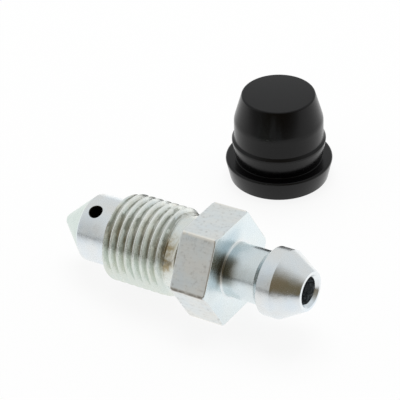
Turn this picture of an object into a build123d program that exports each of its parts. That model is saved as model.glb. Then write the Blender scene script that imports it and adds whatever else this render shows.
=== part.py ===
from build123d import *
import os
from math import atan2, ceil, cos, pi, radians, sin, sqrt, tan

# A hydraulic bleeder screw and the rubber dust cap that has been taken off it, in millimetres.
# The screw lies along +X, mouth to the right, and rests on the edge behind a hexagon flat and on
# the start of its thread. The cap stands on its open foot beside it, towards +Y. Z = 0 is the
# surface that both rest on, and the origin is the middle of the whole footprint.
# A station is a distance along the screw's own axis, from the tip towards the mouth.

# tip and dog
tip_round = 0.9
seat_cone_angle = 82
dog_d = 7.6
dog_length = 3.7

# thread, metric fine and right-hand. Its groove crosses the dog's end a quarter of a turn from
# the underside, on the side away from the cap, and runs in and out through the air.
thread_major_d = 9.9
thread_pitch = 1.0
thread_flank_angle = 30
thread_length = 7.0
groove_run_in_turn = 0.75
groove_run_out = 0.1
groove_overreach = 0.05
start_chamfer = 0.5
start_face_d = 8.4

# relief behind the thread, and the hexagon
relief_length = 2.6
relief_under_root = 0.01
relief_round = 1.2
round_share_of_wall = 0.9
hexagon_flats = 11.0
hexagon_length = 4.4
hexagon_corner_round = 0.5
outline_over_corners = 0.1

# hose nipple
neck_d = 6.0
neck_length = 4.0
neck_round = 0.25
barb_d = 7.6
barb_back_angle = 45
barb_land = 1.65
nose_length = 2.85
mouth_d = 4.4
lip_round = 0.1

# bleed passage
bore_d = 3.0
countersink_d = 3.7
countersink_angle = 90
drill_angle = 118
cross_hole_d = 1.5
cross_hole_setback = 1.4
cross_hole_lean = 25.5
bore_overrun = 0.2

# dust cap
lip_squeeze = 0.05
barb_clearance = 0.1
crown_clearance = 0.3
crown_wall = 1.35
cap_wall = 1.275
cap_taper = 16
shoulder_above_land = 1.2
ridge_above_barb = 0.25
ridge_band = 0.25
ridge_step = 0.275
undercut = 0.15
undercut_round = 0.5
flange_overhang = 1.1
flange_height = 2.55
flange_draft = 0.55
mouth_chamfer = 0.4
crown_round = 0.25
shoulder_round = 2.5
flange_round = 0.25
foot_round = 0.2
cavity_round = 0.3

# where the cap stands, measured from the screw's tip
cap_along = 11.98
cap_across = 25.36

# sharp edges of the turned screw, broken by this much
edge_break = 0.1

# stations and radii that follow from the sizes above. A metric thread's depth is 17/24 of the
# height of its sharp triangle, and its crests are 1/8 of the pitch wide.
seat_half_angle = seat_cone_angle / 2
tip_tangent = tip_round * (1 - sin(radians(seat_half_angle)))
tip_tangent_r = tip_round * cos(radians(seat_half_angle))
dog_r = dog_d / 2
cone_end = tip_tangent + (dog_r - tip_tangent_r) / tan(radians(seat_half_angle))
dog_end = cone_end + dog_length
thread_r = thread_major_d / 2
thread_start = dog_end + start_chamfer
thread_end = thread_start + thread_length
thread_triangle = thread_pitch * sqrt(3) / 2
thread_depth = thread_triangle * 17 / 24
thread_root_r = thread_r - thread_depth
relief_r = thread_root_r - relief_under_root
run_out_end = thread_end + thread_r - relief_r
thread_crest = thread_pitch / 8
groove_half = (thread_pitch - thread_crest) / 2
root_half = groove_half - thread_depth * tan(radians(thread_flank_angle))
mouth_half = groove_half + groove_overreach * tan(radians(thread_flank_angle))
groove_turns = ceil((run_out_end + groove_run_out - dog_end) / thread_pitch + groove_run_in_turn)
groove_start = dog_end + (groove_turns - groove_run_in_turn) * thread_pitch
hexagon_back = thread_end + relief_length
hexagon_front = hexagon_back + hexagon_length
corner_r = hexagon_flats / sqrt(3)
hexagon_outline_r = corner_r + outline_over_corners
relief_wall = hexagon_outline_r - hexagon_corner_round - relief_r
neck_r = neck_d / 2
neck_end = hexagon_front + neck_length
barb_r = barb_d / 2
barb_start = neck_end + (barb_r - neck_r) / tan(radians(barb_back_angle))
barb_end = barb_start + barb_land
mouth_r = mouth_d / 2
mouth_end = barb_end + nose_length
bore_r = bore_d / 2
countersink_depth = (countersink_d / 2 - bore_r) / tan(radians(countersink_angle / 2))
cross_hole_station = cone_end + cross_hole_setback
bore_end = cross_hole_station - cross_hole_d / 2 - bore_overrun
drill_point = bore_end - bore_r / tan(radians(drill_angle / 2))

# the screw's resting place: its flats stand out further than its thread, so its mouth tips up
rest_angle = atan2(hexagon_flats / 2 - thread_r, hexagon_back - thread_start)
along = Vector(cos(rest_angle), 0, sin(rest_angle))
upward = Vector(-sin(rest_angle), 0, cos(rest_angle))
sideways = Vector(0, 1, 0)
flange_r = barb_r + barb_clearance + cap_wall + flange_overhang
tip_x = -mouth_end * cos(rest_angle) / 2
tip_y = (corner_r - cap_across - flange_r) / 2
tip_z = thread_r * cos(rest_angle) - thread_start * sin(rest_angle)
tip = Vector(tip_x, tip_y, tip_z)
screw_axis = Axis(tip, along)
screw_section = Plane(origin=tip, x_dir=along, z_dir=-sideways)

# each corner of the turned outline: station, radius and how far it is rounded. Over the hexagon
# the outline stands clear of the bar's corners, and its rounds break them at both ends.
screw_corners = [
    (cone_end, dog_r, edge_break),
    (dog_end, dog_r, edge_break),
    (dog_end, start_face_d / 2, 0),
    (thread_start, thread_r, 0),
    (thread_end, thread_r, edge_break),
    (run_out_end, relief_r, edge_break),
    (hexagon_back, relief_r, min(relief_round, relief_wall * round_share_of_wall)),
    (hexagon_back, hexagon_outline_r, hexagon_corner_round),
    (hexagon_front, hexagon_outline_r, hexagon_corner_round),
    (hexagon_front, neck_r, neck_round),
    (neck_end, neck_r, edge_break),
    (barb_start, barb_r, 0),
    (barb_end, barb_r, edge_break),
    (mouth_end, mouth_r, lip_round),
]

with BuildPart() as bleeder_screw:
    with BuildSketch(screw_section):
        with BuildLine():
            tip_arc = CenterArc((tip_round, 0), tip_round, 180, seat_half_angle - 90)
            turned = FilletPolyline(
                tip_arc @ 1,
                *[(station, radius) for station, radius, rounding in screw_corners],
                (mouth_end, 0),
                radius=[rounding for station, radius, rounding in screw_corners],
            )
            Line(turned @ 1, (0, 0))
        make_face()
    revolve(axis=screw_axis)
    # the thread's groove is carried along a helix, turn by turn. It begins in the air beneath the
    # relief, and goes towards the tip until it is in the air again, beneath the dog.
    groove_foot = tip + along * groove_start - upward * thread_root_r
    groove_way = sideways * thread_root_r + along * (thread_pitch / (2 * pi))
    with BuildLine():
        for turn in range(groove_turns):
            Helix(
                thread_pitch,
                thread_pitch,
                thread_root_r,
                center=tip + along * (groove_start - turn * thread_pitch),
                direction=-along,
            )
    with BuildSketch(Plane(origin=groove_foot, x_dir=-upward, z_dir=-groove_way)):
        with BuildLine():
            Polyline(
                (0, -root_half),
                (0, root_half),
                (thread_depth + groove_overreach, mouth_half),
                (thread_depth + groove_overreach, -mouth_half),
                close=True,
            )
        make_face()
    sweep(is_frenet=True, mode=Mode.SUBTRACT)
    # the hexagon bar that the screw is turned from leaves its flats, one of them facing down
    with BuildSketch(Plane(origin=tip, x_dir=sideways, z_dir=along)):
        RegularPolygon(hexagon_flats / 2, 6, major_radius=False)
    extrude(amount=mouth_end, mode=Mode.INTERSECT)
    # the passage is drilled from the mouth, and stops at the cross hole
    with BuildSketch(screw_section):
        with BuildLine():
            Polyline(
                (drill_point, 0),
                (bore_end, bore_r),
                (mouth_end - countersink_depth, bore_r),
                (mouth_end, countersink_d / 2),
                (mouth_end, 0),
                close=True,
            )
        make_face()
    revolve(axis=screw_axis, mode=Mode.SUBTRACT)
    # the cross hole opens in one side of the dog
    cross_hole_way = upward * cos(radians(cross_hole_lean)) - sideways * sin(radians(cross_hole_lean))
    with BuildSketch(Plane(origin=tip + along * cross_hole_station, z_dir=cross_hole_way)):
        Circle(cross_hole_d / 2)
    extrude(amount=dog_d, mode=Mode.SUBTRACT)

# heights in the cap, from its foot, follow the nipple that it fits over
grip_top = neck_length
cavity_start = barb_start - hexagon_front
land_top = barb_end - hexagon_front
cavity_top = mouth_end - hexagon_front + crown_clearance
cap_height = cavity_top + crown_wall
grip_r = neck_r - lip_squeeze
cavity_r = barb_r + barb_clearance
crown_cavity_r = mouth_r + barb_clearance
body_r = cavity_r + cap_wall
shoulder = land_top + shoulder_above_land
crown_r = body_r - (cap_height - shoulder) * tan(radians(cap_taper))
ridge_top = cavity_start + ridge_above_barb
ridge_r = body_r + ridge_step

# each corner of the cap's outline: radius, height and how far it is rounded
cap_corners = [
    (grip_r + mouth_chamfer, 0, 0),
    (flange_r - flange_draft, 0, foot_round),
    (flange_r, flange_height, flange_round),
    (body_r - undercut, flange_height, undercut_round),
    (ridge_r, ridge_top - ridge_band, 0),
    (ridge_r, ridge_top, 0),
    (body_r, ridge_top + ridge_step, 0),
    (body_r, shoulder, shoulder_round),
    (crown_r, cap_height, crown_round),
    (0, cap_height, 0),
    (0, cavity_top, 0),
    (crown_cavity_r, cavity_top, cavity_round),
    (cavity_r, land_top, cavity_round),
    (cavity_r, cavity_start, cavity_round),
    (grip_r, grip_top, 0),
    (grip_r, mouth_chamfer, 0),
]
cap_foot = Vector(tip_x + cap_along, tip_y + cap_across, 0)
cap_section = Plane(origin=cap_foot, x_dir=(1, 0, 0), z_dir=(0, -1, 0))

with BuildPart() as dust_cap:
    with BuildSketch(cap_section):
        with BuildLine():
            FilletPolyline(
                *[(radius, height) for radius, height, rounding in cap_corners],
                radius=[rounding for radius, height, rounding in cap_corners],
                close=True,
            )
        make_face()
    revolve(axis=Axis(cap_foot, (0, 0, 1)))

bleeder_screw.part.label = "bleeder_screw"
dust_cap.part.label = "dust_cap"
os.makedirs("parts", exist_ok=True)
for piece in (bleeder_screw, dust_cap):
    export_step(piece.part, f"parts/{piece.part.label}.step")
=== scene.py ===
from math import atan, atan2, ceil, cos, pi, radians, sin, sqrt, tan

import bmesh
import bpy
import numpy as np
from mathutils import Matrix, Vector


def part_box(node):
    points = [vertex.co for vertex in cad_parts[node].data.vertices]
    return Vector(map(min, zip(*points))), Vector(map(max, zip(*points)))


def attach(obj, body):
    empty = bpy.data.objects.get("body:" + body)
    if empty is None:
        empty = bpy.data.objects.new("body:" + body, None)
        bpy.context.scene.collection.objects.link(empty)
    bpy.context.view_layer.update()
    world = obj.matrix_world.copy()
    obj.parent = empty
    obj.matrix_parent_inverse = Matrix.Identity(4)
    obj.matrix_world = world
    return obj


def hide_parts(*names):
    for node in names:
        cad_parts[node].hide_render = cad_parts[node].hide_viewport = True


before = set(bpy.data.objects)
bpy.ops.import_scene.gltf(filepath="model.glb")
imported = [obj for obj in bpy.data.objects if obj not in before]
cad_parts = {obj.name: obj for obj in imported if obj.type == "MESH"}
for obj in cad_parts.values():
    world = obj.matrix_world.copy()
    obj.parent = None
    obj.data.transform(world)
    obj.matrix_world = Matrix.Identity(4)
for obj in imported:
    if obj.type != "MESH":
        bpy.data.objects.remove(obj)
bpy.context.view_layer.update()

# A bleeder screw lying on a pale floor and the rubber dust cap that stands behind it.
# Sizes are in millimetres and meshes in metres. A station is a distance along the screw's own
# axis from its tip, and an angle turns about that axis from the cap's side towards the top.
MM = 0.001

# tip and dog
tip_round = 0.9
seat_half_angle = radians(41)
dog_r = 3.8
dog_length = 3.7
edge_break = 0.1

# thread
major_r = 4.95
pitch = 1.0
thread_length = 7.0
start_chamfer = 0.5
start_face_r = 4.2
crest_round = 0.03
root_round = 0.143 * pitch

# relief and hexagon
relief_length = 2.6
relief_under_root = 0.01
relief_round = 1.2
hexagon_flats = 11.0
hexagon_length = 4.4
hexagon_end_round = 0.5
outline_over_corners = 0.1
bar_corner_round = 0.12
bar_end_round = 0.12

# hose nipple
neck_r = 3.0
neck_length = 4.0
neck_round = 0.25
barb_r = 3.8
barb_back_angle = radians(45)
barb_land = 1.65
nose_length = 2.85
mouth_r = 2.2
lip_round = 0.1

# bleed passage
bore_r = 1.5
countersink_r = 1.85
countersink_round = 0.04
drill_half_angle = radians(59)
hole_r = 0.75
hole_break = 0.07
hole_setback = 1.4
hole_angle = radians(115.5)
hole_window = 1.05
bore_window = 0.9
bore_overrun = 0.2

# how finely the surfaces are divided, and how sharp an edge has to be to stay crisp
plain_columns = 240
tip_rings = 12
thread_corner_steps = 4
thread_longest_run = 0.13
thread_lead_in = 1.5 * pitch
outline_corner_steps = 8
dog_window_rows = 16
dog_window_half_columns = 24
bore_window_rows = 8
bore_window_half_columns = 28
window_rings = 7
hole_wall_rings = 8
screw_sharp_angle = radians(35)
cap_sharp_angle = radians(50)

# stations and radii that follow
tip_tangent = tip_round * (1 - sin(seat_half_angle))
cone_end = tip_tangent + (dog_r - tip_round * cos(seat_half_angle)) / tan(seat_half_angle)
dog_end = cone_end + dog_length
thread_start = dog_end + start_chamfer
thread_end = thread_start + thread_length
thread_depth = pitch * 17 * sqrt(3) / 48
relief_r = major_r - thread_depth - relief_under_root
run_out_end = thread_end + major_r - relief_r
hexagon_back = thread_end + relief_length
hexagon_front = hexagon_back + hexagon_length
hexagon_outline_r = hexagon_flats / sqrt(3) + outline_over_corners
neck_end = hexagon_front + neck_length
barb_start = neck_end + (barb_r - neck_r) / tan(barb_back_angle)
barb_end = barb_start + barb_land
mouth_end = barb_end + nose_length
countersink_end = mouth_end - (countersink_r - bore_r)
hole_station = cone_end + hole_setback
bore_seam = mouth_end - 2 * nose_length
bore_end = hole_station - hole_r - bore_overrun
drill_point = bore_end - bore_r / tan(drill_half_angle)

# where the screw rests, from the box of its solid
screw_low, screw_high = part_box("bleeder_screw")
rest_angle = atan2(hexagon_flats / 2 - major_r, hexagon_back - thread_start)
along = np.array([cos(rest_angle), 0, sin(rest_angle)])
upward = np.array([-sin(rest_angle), 0, cos(rest_angle)])
sideways = np.array([0, 1, 0])
tip = np.array([
    screw_low.x / MM,
    (screw_low.y + screw_high.y) / 2 / MM,
    major_r * cos(rest_angle) - thread_start * sin(rest_angle),
])

# columns of every ring: evenly spaced, with more of them round the hexagon bar's six corners
corner_turn = pi / 6 - atan(tan(pi / 6) * (1 - 2 * bar_corner_round / hexagon_flats))
angles = np.unique(np.concatenate([
    np.linspace(0, 2 * pi, plain_columns + 1),
    *[corner * pi / 3 + corner_turn * np.array([0.5, 1]) for corner in range(6)],
    *[corner * pi / 3 - corner_turn * np.array([0.5, 1]) for corner in range(1, 7)],
]))


def on_screw(station, radius, angle):
    """Points about the screw's axis: the tip, plus the station along the axis, plus the radius
    times cosine of the angle sideways and sine of it upwards."""
    station, radius, angle = (np.asarray(value)[..., None] for value in (station, radius, angle))
    return tip + along * station + radius * (sideways * np.cos(angle) + upward * np.sin(angle))


def rounded_outline(corners, steps=5):
    """Rings of an outline whose corners are rounded, as two arrays. A corner's arc touches both of
    its runs: it begins round / tan(half) from the corner, with half of the angle between the runs,
    and its centre lies round / sin(half) along the line that halves that angle."""
    rings = [np.array([corners[0][:2]], float)]
    for before, here, after in zip(corners, corners[1:], corners[2:]):
        corner, rounding = np.array(here[:2], float), here[2]
        if not rounding:
            rings.append(corner[None])
            continue
        back = (np.array(before[:2]) - corner) / np.linalg.norm(np.array(before[:2]) - corner)
        ahead = (np.array(after[:2]) - corner) / np.linalg.norm(np.array(after[:2]) - corner)
        half = np.arccos(back @ ahead) / 2
        centre = corner + (back + ahead) / np.linalg.norm(back + ahead) * rounding / sin(half)
        first = corner + back * rounding / tan(half) - centre
        last = corner + ahead * rounding / tan(half) - centre
        sweep = pi - 2 * half
        share = np.linspace(0, 1, steps + 1)[:, None]
        arc = (np.sin((1 - share) * sweep) * first + np.sin(share * sweep) * last) / sin(sweep)
        rings.append(centre + arc)
    rings.append(np.array([corners[-1][:2]], float))
    return np.concatenate(rings).T


def divided(first, second, longest):
    """The same outline with no run longer than the given length, by even division of each run."""
    length = np.hypot(np.diff(first), np.diff(second))
    parts = np.maximum(np.ceil(length / longest), 1).astype(int)
    at = np.concatenate([index + np.arange(count) / count for index, count in enumerate(parts)])
    at = np.append(at, len(first) - 1)
    return np.interp(at, np.arange(len(first)), first), np.interp(at, np.arange(len(first)), second)


class Shell:
    """Grids of points that share their edges. They become one closed mesh when it is made."""

    def __init__(self):
        self.points, self.quads, self.finishes, self.count = [], [], [], 0

    def add(self, points, finish=0, keep=None):
        """One grid: each cell between four neighbouring points is a quad, unless keep is false."""
        rows, columns = points.shape[:2]
        index = self.count + np.arange(rows * columns).reshape(rows, columns)
        quads = np.stack([index[:-1, :-1], index[1:, :-1], index[1:, 1:], index[:-1, 1:]], axis=-1)
        finishes = np.broadcast_to(finish, quads.shape[:2])
        keep = np.ones(quads.shape[:2], bool) if keep is None else keep
        self.points.append(points.reshape(-1, 3))
        self.quads.append(quads[keep])
        self.finishes.append(finishes[keep])
        self.count += rows * columns

    def make(self, name, materials, sharp_angle, merge=2e-6):
        """Merges points that lie together, which closes seams and poles, and turns faces out."""
        mesh = bpy.data.meshes.new(name)
        mesh.from_pydata(np.concatenate(self.points) * MM, [], np.concatenate(self.quads))
        mesh.polygons.foreach_set("material_index", np.concatenate(self.finishes).astype(np.int32))
        whole = bmesh.new()
        whole.from_mesh(mesh)
        bmesh.ops.remove_doubles(whole, verts=whole.verts, dist=merge)
        bmesh.ops.recalc_face_normals(whole, faces=whole.faces)
        whole.to_mesh(mesh)
        whole.free()
        mesh.shade_smooth()
        mesh.set_sharp_from_angle(angle=sharp_angle)
        for material in materials:
            mesh.materials.append(material)
        piece = bpy.data.objects.new(name, mesh)
        bpy.context.scene.collection.objects.link(piece)
        weighted = piece.modifiers.new("even_normals", "WEIGHTED_NORMAL")
        weighted.keep_sharp = True
        return piece


# the screw's finishes, in the order of its materials
TURNED, THREAD, FLATS, BORE = range(4)


def bar_radius(angle):
    """Distance from the axis to the hexagon bar: half the flats over the cosine of the angle from
    the flat's middle, and in each corner a small arc that touches both flats."""
    from_corner = np.abs((angle + pi / 6) % (pi / 3) - pi / 6)
    flat = hexagon_flats / 2 / np.cos(pi / 6 - from_corner)
    centre = (hexagon_flats / 2 - bar_corner_round) / cos(pi / 6)
    inside = np.maximum(bar_corner_round**2 - (centre * np.sin(from_corner)) ** 2, 0)
    arc = centre * np.cos(from_corner) + np.sqrt(inside)
    return np.where(from_corner < corner_turn, arc, flat)


def add_turned(shell, stations, radii, finish=0):
    """Rings about the axis, cut back to the hexagon bar. Where the bar cuts them, they are flats.
    The bar draws in at its two ends by a quarter circle, so that the flats' end edges are broken."""
    station, angle = np.meshgrid(stations, angles, indexing="ij")
    turned = np.broadcast_to(radii[:, None], station.shape)
    from_end = np.minimum(np.abs(station - hexagon_back), np.abs(hexagon_front - station))
    short = np.clip(bar_end_round - from_end, 0, bar_end_round)
    bar = bar_radius(angle) - bar_end_round + np.sqrt(bar_end_round**2 - short**2)
    flats = (turned[:-1, :-1] >= bar[:-1, :-1]) & (turned[1:, 1:] >= bar[1:, 1:])
    finishes = np.where(flats, FLATS, finish)
    shell.add(on_screw(station, np.minimum(turned, bar), angle), finishes)


def add_thread(shell):
    """The thread's outline carried along its helix: one turn of the angle moves it on by one pitch,
    which is right-hand. Crests are pitch / 8 wide, roots pitch / 6 wide with rounded corners, and
    the flanks between them lean 30 degrees. At angle zero a crest stands over the dog's end. The
    start's cone and the run-out's cut it back, and it ends on their circles."""
    minor_r = major_r - thread_depth
    root, crest = pitch / 12, pitch / 16
    one_pitch = [
        (0, minor_r, 0),
        (root, minor_r, root_round),
        (pitch / 2 - crest, major_r, crest_round),
        (pitch / 2 + crest, major_r, crest_round),
        (pitch - root, minor_r, root_round),
        (pitch, minor_r, 0),
    ]
    offset, profile = divided(*rounded_outline(one_pitch, thread_corner_steps), thread_longest_run)
    first = dog_end - thread_lead_in
    turns = ceil((run_out_end - first) / pitch)
    stations = (first + pitch * np.arange(turns)[:, None] + offset[:-1]).ravel()
    profiles = np.tile(profile[:-1], turns)
    station = np.clip(stations[:, None] + pitch * angles / (2 * pi), dog_end, run_out_end)
    cut = np.interp(station, [dog_end, thread_start, thread_end, run_out_end],
                    [start_face_r, major_r, major_r, relief_r])
    shell.add(on_screw(station, np.minimum(profiles[:, None], cut), angles[None]), THREAD)


def add_drilled_band(shell, start, end, rows, half_columns, radius, rim_r, finish):
    """Rings with a window about the cross hole. The window's edge is drawn in, by even shares, to
    the hole's rim, where the hole's cylinder cuts this one: the rim's angle from the hole's own is
    the arcsine of its sideways reach over the radius."""
    stations = np.linspace(start, end, rows + 1)
    middle = np.abs(angles - hole_angle).argmin()
    left, right = middle - half_columns, middle + half_columns
    station, angle = np.meshgrid(stations, angles, indexing="ij")
    keep = np.ones((rows, len(angles) - 1), bool)
    keep[:, left:right] = False
    shell.add(on_screw(station, radius, angle), finish, keep)
    window = angles[left:right + 1]
    edge = np.concatenate([
        np.stack([np.full(2 * half_columns, end), window[:-1]], axis=1),
        np.stack([stations[:0:-1], np.full(rows, window[-1])], axis=1),
        np.stack([np.full(2 * half_columns, start), window[:0:-1]], axis=1),
        np.stack([stations[:-1], np.full(rows, window[0])], axis=1),
    ])
    edge = np.roll(edge, -half_columns, axis=0)
    edge = np.concatenate([edge, edge[:1]])
    turn = np.linspace(0, 2 * pi, len(edge))
    rim = np.stack([hole_station + rim_r * np.cos(turn),
                    hole_angle + np.arcsin(rim_r * np.sin(turn) / radius)], axis=1)
    share = np.linspace(0, 1, window_rings)[:, None, None]
    drawn = (1 - share) * edge + share * rim
    shell.add(on_screw(drawn[..., 0], radius, drawn[..., 1]), finish)
    return len(edge)


def add_cross_hole(shell, columns):
    """The hole's wall, a cylinder across the screw's axis. A point at a height above that axis and a
    sideways reach is at the radius and angle that both give. Its outer edge is slightly broken."""
    turn = np.linspace(0, 2 * pi, columns)
    radii = np.array([hole_r + hole_break] + [hole_r] * hole_wall_rings)[:, None]
    reach = radii * np.sin(turn)
    outer = np.sqrt(dog_r**2 - reach**2)
    inner = np.sqrt(bore_r**2 - reach**2)
    first_share = hole_break / (dog_r - bore_r)
    share = np.concatenate([[0], np.linspace(first_share, 1, hole_wall_rings)])[:, None]
    height = outer + share * (inner - outer)
    station = hole_station + radii * np.cos(turn)
    radius = np.hypot(height, reach)
    shell.add(on_screw(station, radius, hole_angle + np.arctan2(reach, height)), BORE)


def screw_piece(materials):
    """The whole screw as one closed surface, from the tip along the outside to the mouth and back
    down the bore to the drill's point."""
    shell = Shell()
    lead = np.linspace(0, pi / 2 - seat_half_angle, tip_rings)
    window_start, window_end = hole_station - hole_window, hole_station + hole_window
    cone = rounded_outline([
        (tip_tangent, tip_round * cos(seat_half_angle), 0),
        (cone_end, dog_r, edge_break),
        (window_start, dog_r, 0),
    ])
    add_turned(shell, tip_round * (1 - np.cos(lead)), tip_round * np.sin(lead))
    add_turned(shell, *cone)
    columns = add_drilled_band(shell, window_start, window_end, dog_window_rows, dog_window_half_columns,
                               dog_r, hole_r + hole_break, TURNED)
    add_turned(shell, *rounded_outline([
        (window_end, dog_r, 0),
        (dog_end, dog_r, edge_break),
        (dog_end, start_face_r, 0),
    ]))
    add_thread(shell)
    outline = rounded_outline([
        (run_out_end, relief_r, 0),
        (hexagon_back, relief_r, relief_round),
        (hexagon_back, hexagon_outline_r, hexagon_end_round),
        (hexagon_front, hexagon_outline_r, hexagon_end_round),
        (hexagon_front, neck_r, neck_round),
        (neck_end, neck_r, edge_break),
        (barb_start, barb_r, edge_break / 2),
        (barb_end, barb_r, edge_break / 2),
        (mouth_end, mouth_r, lip_round),
        (mouth_end, countersink_r, countersink_round),
        (countersink_end, bore_r, countersink_round),
        (bore_seam, bore_r, 0),
    ], outline_corner_steps)
    relief = np.where(outline[0, :-1] < hexagon_back - bar_end_round, THREAD, TURNED)
    add_turned(shell, *outline, relief[:, None])
    bore_low, bore_top = hole_station - bore_window, hole_station + bore_window
    add_turned(shell, np.array([bore_seam, bore_top]), np.array([bore_r, bore_r]), BORE)
    add_drilled_band(shell, bore_low, bore_top, bore_window_rows, bore_window_half_columns,
                     bore_r, hole_r, BORE)
    add_turned(shell, np.array([bore_low, bore_end, drill_point]), np.array([bore_r, bore_r, 0]), BORE)
    add_cross_hole(shell, columns)
    return shell.make("turned_screw", materials, screw_sharp_angle)


# dust cap, whose inside follows the nipple
lip_squeeze = 0.05
barb_clearance = 0.1
crown_clearance = 0.3
crown_wall = 1.35
cap_wall = 1.275
cap_taper = radians(16)
shoulder_above_land = 1.2
ridge_above_barb = 0.25
ridge_band = 0.25
ridge_step = 0.275
undercut = 0.15
undercut_round = 0.06  # tighter than in the solid, as no light line shows there
flange_overhang = 1.1
flange_height = 2.55
flange_draft = 0.55
mouth_chamfer = 0.4
crown_round = 0.25
shoulder_round = 2.5
flange_round = 0.25
foot_round = 0.2
cavity_round = 0.3
cap_edge_round = 0.06
cap_columns = 240


def cap_piece(material):
    """The cap as one closed surface: its outline, from the middle of the crown down the outside, in
    at the foot and up the inside, turned about its upright axis."""
    cavity_start = barb_start - hexagon_front
    land_top = barb_end - hexagon_front
    cavity_top = mouth_end - hexagon_front + crown_clearance
    height = cavity_top + crown_wall
    grip_r = neck_r - lip_squeeze
    cavity_r = barb_r + barb_clearance
    body_r = cavity_r + cap_wall
    shoulder = land_top + shoulder_above_land
    crown_r = body_r - (height - shoulder) * tan(cap_taper)
    ridge_top = cavity_start + ridge_above_barb
    ridge_r = body_r + ridge_step
    flange_r = body_r + flange_overhang
    level, radius = rounded_outline([
        (height, 0, 0),
        (height, crown_r, crown_round),
        (shoulder, body_r, shoulder_round),
        (ridge_top + ridge_step, body_r, cap_edge_round),
        (ridge_top, ridge_r, cap_edge_round),
        (ridge_top - ridge_band, ridge_r, cap_edge_round),
        (flange_height, body_r - undercut, undercut_round),
        (flange_height, flange_r, flange_round),
        (0, flange_r - flange_draft, foot_round),
        (0, grip_r + mouth_chamfer, cap_edge_round),
        (mouth_chamfer, grip_r, cap_edge_round),
        (neck_length, grip_r, cap_edge_round),
        (cavity_start, cavity_r, cavity_round),
        (land_top, cavity_r, cavity_round),
        (cavity_top, mouth_r + barb_clearance, cavity_round),
        (cavity_top, 0, 0),
    ], outline_corner_steps)
    cap_low, cap_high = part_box("dust_cap")
    middle = np.array([(cap_low.x + cap_high.x) / 2 / MM, (cap_low.y + cap_high.y) / 2 / MM, 0])
    turn = np.linspace(0, 2 * pi, cap_columns + 1)
    ring = np.stack([np.cos(turn), np.sin(turn), np.zeros_like(turn)], axis=1)
    rise = np.array([0, 0, 1])
    shell = Shell()
    shell.add(middle + radius[:, None, None] * ring + level[:, None, None] * rise)
    return shell.make("moulded_cap", [material], cap_sharp_angle)


# Values of the finishes, in millimetres. A zone or a ring is a middle, how far it reaches and over
# how much it fades, along the screw or out from its axis. A side is an angle about the axis and the
# two cosines between which it fades in. A pattern, a mottle or patches are a noise's scale, detail
# and, where it isn't a half, roughness. Limits are a range of noise and the range that it becomes.
# A depth is a bump's strength and distance. A share says how much of a colour covers the one below.

# the turned stretches: a greener cone, a cooler neck and face, painted shade on one side of the face,
# and brown painted shade on one side of the neck's foot
turned_tints = [(0.81, 0.845, 0.86, 1), (0.82, 0.825, 0.81, 1), (0.76, 0.825, 0.875, 1)]
turned_patches = 0.35, 3.0
cone_zone = 0.0, cone_end - 0.3, 0.4
cone_green, cone_green_share = (0.56, 0.65, 0.59, 1), 0.8
face_zone = hexagon_front, 0.05, 0.2
face_ring = 5.2, 1.6, 0.6
neck_zone = hexagon_front + neck_length / 2, neck_length / 2 - 0.2, 0.3
face_blue, face_blue_share = (0.74, 0.825, 0.84, 1), 0.6
# painted shade on one side of the face, beside the neck: a colour that stands in for shade there
shade_ring = neck_r, 1.0, 2.2
shade_side = radians(128), 0.3, 0.85
shade, shade_share = (0.44, 0.57, 0.64, 1), 0.6
# brown painted shade at the neck's foot, next to the hexagon's face, on one side
foot_zone = hexagon_front + 0.2, 0.4, 1.7
foot_ring = neck_r, 0.3, 1.0
foot_side = radians(150), 0.78, 0.96
neck_foot_painted_shade, neck_foot_painted_shade_share = (0.15, 0.12, 0.07, 1), 0.68
turned_mottle = 1.5, 3.0, 0.55
turned_mottle_depth = 0.5, 0.035 * MM
turned_roughness = 0.16, 0.36
tool_marks_per_mm = 7.0
tool_marks_depth = 0.3, 0.004 * MM

# the thread and the relief: grey painted shade in the grooves of the upper side, brown painted shade
# in the grooves of one side, most in the relief and about the third turn, score lines from the die with
# painted shade on the upper side, painted highlights on the upper crests, and a greener low side
thread_tints = [(0.85, 0.88, 0.84, 1), (0.85, 0.84, 0.77, 1), (0.81, 0.87, 0.86, 1)]
thread_patches = 0.6, 3.0
thread_zone = (dog_end + run_out_end) / 2, (run_out_end - dog_end) / 2 - 0.3, 0.3
groove_ring = relief_r, 0.06, 0.42
upper_side = radians(112), 0.1, 0.8
# grey painted shade in the thread's grooves, strongest on the upper side
groove_painted_shade, groove_painted_shade_share, groove_painted_shade_least = (0.34, 0.33, 0.29, 1), 0.3, 0.05
# brown painted shade in the grooves of one side, in patches, most in the relief and about the third turn
brown_shade_side = radians(150), 0.74, 0.99
relief_shade_zone = run_out_end, 0.5, 1.0
early_shade_zone = dog_end + 2.3, 0.4, 1.2
early_shade_share = 0.7
least_shade_share = 0.25
shade_patches = 1.3, 4.0, 0.6
shade_patch_limits = 0.4, 0.58, 0.3, 1.0
brown_painted_shade = (0.42, 0.35, 0.21, 1)
score_wander = 0.35, 2.0
score_pattern = 4.6, 2.0
score_limits = 0.5, 0.56, 0.0, 0.75
# the die's score lines are real bumps; their grey is painted shade, on the upper side only
score_painted_shade = (0.37, 0.38, 0.33, 1)
score_depth = 0.6, 0.04 * MM
# painted highlight on the thread's crests of the upper side
crest_ring = major_r, 0.05, 0.2
crest_painted_highlight, crest_painted_highlight_share = (0.98, 1.0, 0.96, 1), 0.7
low_side = radians(215), 0.2, 0.9
low_green, low_green_share = (0.66, 0.72, 0.66, 1), 0.6
thread_mottle = 2.2, 3.0, 0.55
thread_mottle_depth = 0.5, 0.05 * MM
thread_roughness = 0.16, 0.34
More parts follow.
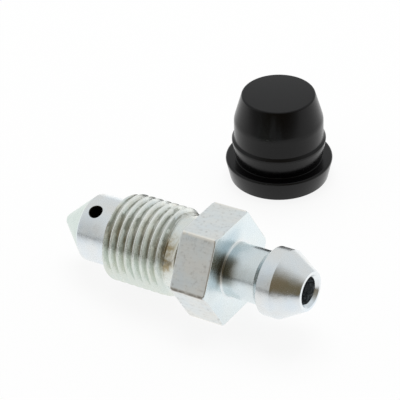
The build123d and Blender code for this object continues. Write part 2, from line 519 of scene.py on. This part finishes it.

# the bar's flats: grey streaks and pits, wear and painted highlights on the long edges, and painted
# shade on the edge away from the cap
flats_tints = [(0.86, 0.885, 0.875, 1), (0.87, 0.87, 0.84, 1), (0.82, 0.87, 0.89, 1)]
flats_patches = 0.5, 3.0
streak_stretch = 0.5, 5.0, 5.0
streak_pattern = 1.0, 4.0
streak_limits = 0.45, 0.65, 0.0, 0.14
streak_grey = (0.62, 0.63, 0.62, 1)
streak_depth = 0.3, 0.02 * MM
pit_pattern = 2.2, 4.0, 0.65
pit_limits = 0.54, 0.74, 0.0, 0.5
pit_grey = (0.42, 0.40, 0.37, 1)
pit_depth = 0.5, 0.03 * MM
flats_roughness = 0.3, 0.52
# the bar's long edges: wear and a painted highlight in patches, and painted shade on one edge
long_edge_radii = 6.19, 6.3
knock_limits = 0.36, 0.5, 0.4, 1.0
edge_wear_and_highlight = (1.0, 0.97, 0.90, 1)
# painted shade along the bar's long edge away from the cap
edge_shade_side = pi, 0.8, 0.95
edge_painted_shade = (0.30, 0.28, 0.25, 1)

# the drilled holes, and the cap's rubber
# the drilled holes' colours are painted shade: near black, as little light reaches inside them
bore_painted_shade_dark, bore_painted_shade_light = (0.03, 0.027, 0.022, 1), (0.10, 0.09, 0.075, 1)
drill_marks_per_mm = 4.0
drilled_roughness = 0.5
rubber_dark, rubber_bright = (0.0016, 0.0015, 0.0019, 1), (0.0034, 0.0029, 0.0031, 1)
rubber_cloud = 0.26 / MM, 2.0
rubber_roughness = 0.18, 0.25
rubber_grain = 2.5 / MM, 3.0
rubber_grain_depth = 0.15, 0.02 * MM
rubber_ior = 1.5
rubber_specular = 0.24


def new_material(name):
    """An empty node material, its node tree and its shader."""
    material = bpy.data.materials.new(name)
    material.use_nodes = True
    return material, material.node_tree, material.node_tree.nodes["Principled BSDF"]


def node(tree, kind, inputs=(), **settings):
    """One node with its settings, and with values or other nodes' outputs on its inputs."""
    made = tree.nodes.new(kind)
    for key, value in settings.items():
        setattr(made, key, value)
    for key, value in dict(inputs).items():
        if isinstance(value, bpy.types.NodeSocket):
            tree.links.new(value, made.inputs[key])
        else:
            made.inputs[key].default_value = value
    return made


def combined(tree, operation, *values):
    """One value from several, which math nodes of one kind take two at a time."""
    result = values[0]
    for value in values[1:]:
        result = node(tree, "ShaderNodeMath", {0: result, 1: value}, operation=operation).outputs[0]
    return result


def multiplied(tree, *values):
    """The product of the values."""
    return combined(tree, "MULTIPLY", *values)


def greatest(tree, *values):
    """The greatest of the values."""
    return combined(tree, "MAXIMUM", *values)


def ranged(tree, value, from_low, from_high, to_low=0.0, to_high=1.0, **settings):
    """A value carried over from one range to another, and held at that range's ends."""
    limits = {"From Min": from_low, "From Max": from_high, "To Min": to_low, "To Max": to_high}
    return node(tree, "ShaderNodeMapRange", {"Value": value, **limits}, **settings).outputs[0]


def mixed(tree, share, first, second):
    """A colour: the first where the share is zero, and the second where it is one."""
    inputs = {"Factor": share, 6: first, 7: second}
    return node(tree, "ShaderNodeMix", inputs, data_type="RGBA").outputs[2]


def noise(tree, place, scale, detail, roughness=0.5, **settings):
    """A cloudy value about a half. The scale is how many of its waves go into one unit of place."""
    inputs = {"Vector": place, "Scale": scale, "Detail": detail, "Roughness": roughness}
    return node(tree, "ShaderNodeTexNoise", inputs, **settings).outputs["Fac"]


def tilted(tree, height, strength, distance, normal=None):
    """The normal that a height of the given distance tilts, from another normal where one is given."""
    inputs = {"Height": height, "Strength": strength, "Distance": distance}
    if normal is not None:
        inputs["Normal"] = normal
    return node(tree, "ShaderNodeBump", inputs).outputs[0]


def joined(tree, shader, colour, roughness, normal):
    """Joins a finish's colour, roughness and normal to its shader."""
    tree.links.new(colour, shader.inputs["Base Color"])
    tree.links.new(roughness, shader.inputs["Roughness"])
    tree.links.new(normal, shader.inputs["Normal"])


def screw_coordinates(tree):
    """Millimetres in the screw's own frame: station, sideways and upwards. And the radius."""
    place = node(tree, "ShaderNodeTexCoord")
    frame_mm = node(tree, "ShaderNodeMapping", {
        "Vector": place.outputs["Object"],
        "Location": tuple(tip * MM),
        "Rotation": (0, -rest_angle, 0),
        "Scale": (MM, MM, MM),
    }, vector_type="TEXTURE")
    coordinates = frame_mm.outputs[0]
    across = node(tree, "ShaderNodeVectorMath", {0: coordinates, 1: (0, 1, 1)}, operation="MULTIPLY")
    radius = node(tree, "ShaderNodeVectorMath", {0: across.outputs[0]}, operation="LENGTH")
    station = node(tree, "ShaderNodeSeparateXYZ", {0: coordinates})
    return coordinates, station.outputs[0], radius.outputs["Value"]


def near(tree, value, middle, reach, fade):
    """One where a value is within reach of the middle, and down to zero over the fade beyond it."""
    off = combined(tree, "SUBTRACT", value, middle)
    away = node(tree, "ShaderNodeMath", {0: off}, operation="ABSOLUTE").outputs[0]
    return ranged(tree, away, reach, reach + fade, 1.0, 0.0, interpolation_type="SMOOTHSTEP")


def facing(tree, coordinates, angle, start, full):
    """One on the side of the screw that lies at an angle, and zero elsewhere: the cosine of the
    angle between that side and the point's own rises smoothly from zero to one between two limits."""
    across = node(tree, "ShaderNodeVectorMath", {0: coordinates, 1: (0, 1, 1)}, operation="MULTIPLY")
    own = node(tree, "ShaderNodeVectorMath", {0: across.outputs[0]}, operation="NORMALIZE")
    side = (0, cos(angle), sin(angle))
    cosine = node(tree, "ShaderNodeVectorMath", {0: own.outputs[0], 1: side}, operation="DOT_PRODUCT")
    return ranged(tree, cosine.outputs["Value"], start, full, interpolation_type="SMOOTHSTEP")


def thread_phase(tree, coordinates, station):
    """How far on in its pitch a point is, from zero at one root to one at the next: the station
    less the share of a pitch that its angle makes, as the thread's own helix has it."""
    parts = node(tree, "ShaderNodeSeparateXYZ", {0: coordinates})
    angle = combined(tree, "ARCTAN2", parts.outputs[2], parts.outputs[1])
    climbed = multiplied(tree, angle, pitch / (2 * pi))
    from_root = combined(tree, "SUBTRACT", station, climbed, dog_end - pitch / 2)
    turns = combined(tree, "DIVIDE", from_root, pitch)
    return node(tree, "ShaderNodeMath", {0: turns}, operation="FRACT").outputs[0]


def turning_marks(tree, station, radius, per_mm, detail=2.0):
    """Height that changes only with station and radius, as a lathe tool's rings do."""
    ring = node(tree, "ShaderNodeCombineXYZ", {0: station, 1: radius})
    return noise(tree, ring.outputs[0], per_mm, detail, noise_dimensions="2D")


def zinc_tints(tree, coordinates, tints, patches):
    """The plating's colour: pale, drifting to warm and cool in soft patches. Each is at its fullest
    at one value of the noise."""
    pale, warm, cool = tints
    ramp = node(tree, "ShaderNodeValToRGB", {"Fac": noise(tree, coordinates, *patches)})
    ends = ramp.color_ramp.elements
    ends[0].position, ends[0].color = 0.32, warm
    ends[1].position, ends[1].color = 0.68, cool
    ends.new(0.5).color = pale
    return ramp.outputs["Color"]


def turned_zinc():
    """Turned steel under bright zinc: fine rings, soft tints, a fine mottle and an uneven gloss. The
    cone is greener, the neck and the hexagon's face are cooler, the face has painted shade on one
    side of the neck, and the neck's foot has brown painted shade on one side."""
    material, tree, shader = new_material("turned_zinc")
    shader.inputs["Metallic"].default_value = 1.0
    coordinates, station, radius = screw_coordinates(tree)
    colour = zinc_tints(tree, coordinates, turned_tints, turned_patches)

    on_cone = near(tree, station, *cone_zone)
    colour = mixed(tree, multiplied(tree, on_cone, cone_green_share), colour, cone_green)

    on_face = multiplied(tree, near(tree, station, *face_zone), near(tree, radius, *face_ring))
    cooled = greatest(tree, on_face, near(tree, station, *neck_zone))
    colour = mixed(tree, multiplied(tree, cooled, face_blue_share), colour, face_blue)

    # painted shade on one side of the face, beside the neck
    about_neck = multiplied(tree, on_face, near(tree, radius, *shade_ring))
    painted_face_shading = multiplied(tree, about_neck, facing(tree, coordinates, *shade_side), shade_share)
    colour = mixed(tree, painted_face_shading, colour, shade)

    # brown painted shade at the neck's foot, on one side
    at_foot = multiplied(tree, near(tree, station, *foot_zone), near(tree, radius, *foot_ring))
    painted_foot_shading = multiplied(tree, at_foot, facing(tree, coordinates, *foot_side), neck_foot_painted_shade_share)
    colour = mixed(tree, painted_foot_shading, colour, neck_foot_painted_shade)

    mottle = noise(tree, coordinates, *turned_mottle)
    gloss = ranged(tree, mottle, 0.0, 1.0, *turned_roughness)
    grain = tilted(tree, mottle, *turned_mottle_depth)
    rings = turning_marks(tree, station, radius, tool_marks_per_mm)
    joined(tree, shader, colour, gloss, tilted(tree, rings, *tool_marks_depth, grain))
    return material


def thread_zinc():
    """The thread's and the relief's plating: pale, with painted highlights on the crests of the upper
    side, grey painted shade in the grooves of the upper side, brown painted shade in patches in the
    grooves of one side, score lines along the thread from its die with painted shade on the upper
    side, and greener on the low side."""
    material, tree, shader = new_material("thread_zinc")
    shader.inputs["Metallic"].default_value = 1.0
    coordinates, station, radius = screw_coordinates(tree)
    colour = zinc_tints(tree, coordinates, thread_tints, thread_patches)
    groove = near(tree, radius, *groove_ring)
    threaded = near(tree, station, *thread_zone)
    upper = facing(tree, coordinates, *upper_side)

    # grey painted shade in the grooves, strongest on the upper side
    upper_groove_shading = multiplied(tree, upper, threaded, groove_painted_shade_share)
    groove_shading = multiplied(tree, groove, combined(tree, "ADD", upper_groove_shading, groove_painted_shade_least))
    colour = mixed(tree, groove_shading, colour, groove_painted_shade)

    # brown painted shade in the grooves of one side, most in the relief and about the third turn
    in_relief = near(tree, station, *relief_shade_zone)
    early = multiplied(tree, near(tree, station, *early_shade_zone), early_shade_share)
    lengthwise = greatest(tree, in_relief, early, least_shade_share)
    uneven = ranged(tree, noise(tree, coordinates, *shade_patches), *shade_patch_limits)
    side = facing(tree, coordinates, *brown_shade_side)
    colour = mixed(tree, multiplied(tree, groove, side, uneven, lengthwise), colour, brown_painted_shade)

    phase = thread_phase(tree, coordinates, station)
    wander = noise(tree, coordinates, *score_wander)
    line_place = node(tree, "ShaderNodeCombineXYZ", {0: phase, 1: wander})
    lines = noise(tree, line_place.outputs[0], *score_pattern, noise_dimensions="2D")
    # painted shade along the die's score lines, on the upper side only
    painted_score_shading = multiplied(tree, ranged(tree, lines, *score_limits), threaded, upper)
    colour = mixed(tree, painted_score_shading, colour, score_painted_shade)

    # painted highlight on the crests of the upper side
    crest = multiplied(tree, near(tree, radius, *crest_ring), upper, crest_painted_highlight_share)
    colour = mixed(tree, crest, colour, crest_painted_highlight)

    greened = multiplied(tree, facing(tree, coordinates, *low_side), threaded, low_green_share)
    colour = mixed(tree, greened, colour, low_green)

    mottle = noise(tree, coordinates, *thread_mottle)
    gloss = ranged(tree, mottle, 0.0, 1.0, *thread_roughness)
    grain = tilted(tree, mottle, *thread_mottle_depth)
    joined(tree, shader, colour, gloss, tilted(tree, lines, *score_depth, grain))
    return material


def flats_zinc():
    """Drawn bar under zinc: streaks along the bar, dark pits, wear and painted highlights on the long
    edges, painted shade on one.
    """
    material, tree, shader = new_material("flats_zinc")
    shader.inputs["Metallic"].default_value = 1.0
    coordinates, _, radius = screw_coordinates(tree)
    colour = zinc_tints(tree, coordinates, flats_tints, flats_patches)

    streaked = node(tree, "ShaderNodeMapping", {"Vector": coordinates, "Scale": streak_stretch})
    streaks = noise(tree, streaked.outputs[0], *streak_pattern)
    colour = mixed(tree, ranged(tree, streaks, *streak_limits), colour, streak_grey)

    pits = noise(tree, coordinates, *pit_pattern)
    colour = mixed(tree, ranged(tree, pits, *pit_limits), colour, pit_grey)

    knocks = ranged(tree, pits, *knock_limits)
    # painted highlight along the long edges, in patches, partly wear
    patchy_edge = multiplied(tree, ranged(tree, radius, *long_edge_radii), knocks)
    colour = mixed(tree, patchy_edge, colour, edge_wear_and_highlight)
    # painted shade along the long edge away from the cap
    painted_edge_shading = multiplied(tree, patchy_edge, facing(tree, coordinates, *edge_shade_side))
    colour = mixed(tree, painted_edge_shading, colour, edge_painted_shade)

    rough = ranged(tree, pits, 0.0, 1.0, *flats_roughness)
    drawn = tilted(tree, streaks, *streak_depth)
    joined(tree, shader, colour, rough, tilted(tree, pits, *pit_depth, drawn))
    return material


def drilled_steel_in_painted_shade():
    """The bore and the cross hole: thinly plated and rough, with drill marks, and painted near black as
    the shade inside them.
    """
    material, tree, shader = new_material("drilled_steel_in_painted_shade")
    shader.inputs["Metallic"].default_value = 1.0
    shader.inputs["Roughness"].default_value = drilled_roughness
    _, station, radius = screw_coordinates(tree)
    marks = turning_marks(tree, station, radius, drill_marks_per_mm)
    # painted shade: the holes' walls coloured near black, varied by the drill marks
    colour = mixed(tree, marks, bore_painted_shade_dark, bore_painted_shade_light)
    tree.links.new(colour, shader.inputs["Base Color"])
    return material


def cap_rubber():
    """Moulded black rubber: a satin skin with a faint grain and slightly uneven gloss."""
    material, tree, shader = new_material("cap_rubber")
    shader.inputs["IOR"].default_value = rubber_ior
    shader.inputs["Specular IOR Level"].default_value = rubber_specular
    place = node(tree, "ShaderNodeTexCoord").outputs["Object"]
    cloud = noise(tree, place, *rubber_cloud)
    colour = mixed(tree, cloud, rubber_dark, rubber_bright)
    gloss = ranged(tree, cloud, 0.0, 1.0, *rubber_roughness)
    skin = tilted(tree, noise(tree, place, *rubber_grain), *rubber_grain_depth)
    joined(tree, shader, colour, gloss, skin)
    return material


# the studio: a white floor, a soft white dome, and the unlit room on the camera's side. The floor
# glows in reflections too, and fades over the stretch where the table ends towards that room.
dark_side_azimuth = radians(-57)
dark_side_elevation = radians(15)
dark_side_full = radians(22)
dark_side_edge = radians(85)
dome = (0.76, 0.775, 0.78, 1)
unlit_room = (0.155, 0.125, 0.075, 1)
floor_reach = 1.5
floor_grey = (0.11, 0.11, 0.11, 1)
table_azimuth = radians(-85)
table_near = 0.012
table_far = 0.105
floor_glow = 0.88
floor_in_gloss = 0.97
lamp_place = (-0.15, 0.25, 0.7)
lamp_target = (0, 0, 0)
lamp_size = 0.5
lamp_power = 3.0


def light_paths(tree):
    """One for what the camera sees and for what gloss and glass show, and zero for other light."""
    path = node(tree, "ShaderNodeLightPath")
    in_gloss = greatest(tree, path.outputs["Is Glossy Ray"], path.outputs["Is Transmission Ray"])
    return path.outputs["Is Camera Ray"], in_gloss


def studio_world():
    """White for the camera. In reflections and for light, the unlit room, which turns to the dome
    with the angle from its middle."""
    world = bpy.data.worlds.new("studio")
    bpy.context.scene.world = world
    world.use_nodes = True
    tree = world.node_tree
    camera_ray = node(tree, "ShaderNodeLightPath").outputs["Is Camera Ray"]
    way = node(tree, "ShaderNodeTexCoord").outputs["Generated"]
    flat = cos(dark_side_elevation)
    centre = (flat * cos(dark_side_azimuth), flat * sin(dark_side_azimuth), sin(dark_side_elevation))
    along_way = node(tree, "ShaderNodeVectorMath", {0: way, 1: centre}, operation="DOT_PRODUCT")
    off = node(tree, "ShaderNodeMath", {0: along_way.outputs["Value"]}, operation="ARCCOSINE")
    lit = ranged(tree, off.outputs[0], dark_side_full, dark_side_edge, interpolation_type="SMOOTHSTEP")
    dome_side = mixed(tree, lit, unlit_room, dome)
    seen = mixed(tree, camera_ray, dome_side, (1, 1, 1, 1))
    tree.links.new(seen, tree.nodes["Background"].inputs["Color"])


def studio_floor():
    """A pale matt floor. It glows for the camera and in reflections, so that it stays near white,
    and keeps the soft shadow of what stands on it. Towards the unlit side its glow fades."""
    mesh = bpy.data.meshes.new("floor")
    corners = [(-1, -1), (1, -1), (1, 1), (-1, 1)]
    mesh.from_pydata([(x * floor_reach, y * floor_reach, 0) for x, y in corners], [], [(0, 1, 2, 3)])
    floor = bpy.data.objects.new("floor", mesh)
    bpy.context.scene.collection.objects.link(floor)
    material, tree, shader = new_material("pale_floor")
    mesh.materials.append(material)
    camera_ray, gloss_ray = light_paths(tree)
    place = node(tree, "ShaderNodeTexCoord").outputs["Object"]
    to_room = (cos(table_azimuth), sin(table_azimuth), 0)
    distance = node(tree, "ShaderNodeVectorMath", {0: place, 1: to_room}, operation="DOT_PRODUCT")
    lit = ranged(tree, distance.outputs["Value"], table_near, table_far, floor_in_gloss, 0.0)
    glow = greatest(tree, multiplied(tree, gloss_ray, lit), multiplied(tree, camera_ray, floor_glow))
    shader.inputs["Base Color"].default_value = floor_grey
    shader.inputs["Roughness"].default_value = 1.0
    shader.inputs["Specular IOR Level"].default_value = 0.0
    shader.inputs["Emission Color"].default_value = (1, 1, 1, 1)
    tree.links.new(glow, shader.inputs["Emission Strength"])


def soft_lamp(name, place, target, size, power):
    """A square soft lamp that points at the target. It gives light and shadow, and polished metal
    shows the even dome instead of the lamp's own square."""
    lamp = bpy.data.objects.new(name, bpy.data.lights.new(name, "AREA"))
    bpy.context.scene.collection.objects.link(lamp)
    lamp.data.size, lamp.data.energy = size, power
    lamp.visible_glossy = False
    lamp.location = place
    lamp.rotation_euler = (Vector(target) - Vector(place)).to_track_quat("-Z", "Y").to_euler()


# camera, from the photograph's view of the hexagon, the thread and the cap's circles
camera_place = Vector((122.70, -191.92, 161.87)) * MM
camera_target = Vector((-8.63, 3.26, 0)) * MM
camera_roll = radians(-1.886)
camera_lens = 222.8


def photo_camera():
    """A long lens at the photograph's angle, rolled slightly about its own line of sight."""
    data = bpy.data.cameras.new("camera")
    camera = bpy.data.objects.new("camera", data)
    bpy.context.scene.collection.objects.link(camera)
    bpy.context.scene.camera = camera
    data.sensor_width, data.lens = 36.0, camera_lens
    data.clip_start, data.clip_end = 0.01, 10.0
    back = (camera_place - camera_target).normalized()
    right = Vector((0, 0, 1)).cross(back).normalized()
    up = back.cross(right)
    rolled_right = right * cos(camera_roll) + up * sin(camera_roll)
    rolled_up = up * cos(camera_roll) - right * sin(camera_roll)
    turn = Matrix((rolled_right, rolled_up, back)).transposed()
    camera.matrix_world = Matrix.Translation(camera_place) @ turn.to_4x4()


screw = screw_piece([turned_zinc(), thread_zinc(), flats_zinc(), drilled_steel_in_painted_shade()])
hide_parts("bleeder_screw")
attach(screw, "root")

cap = cap_piece(cap_rubber())
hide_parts("dust_cap")
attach(cap, "root")

studio_world()
studio_floor()
soft_lamp("overhead", lamp_place, lamp_target, lamp_size, lamp_power)
photo_camera()

bpy.context.scene.view_settings.view_transform = "Standard"
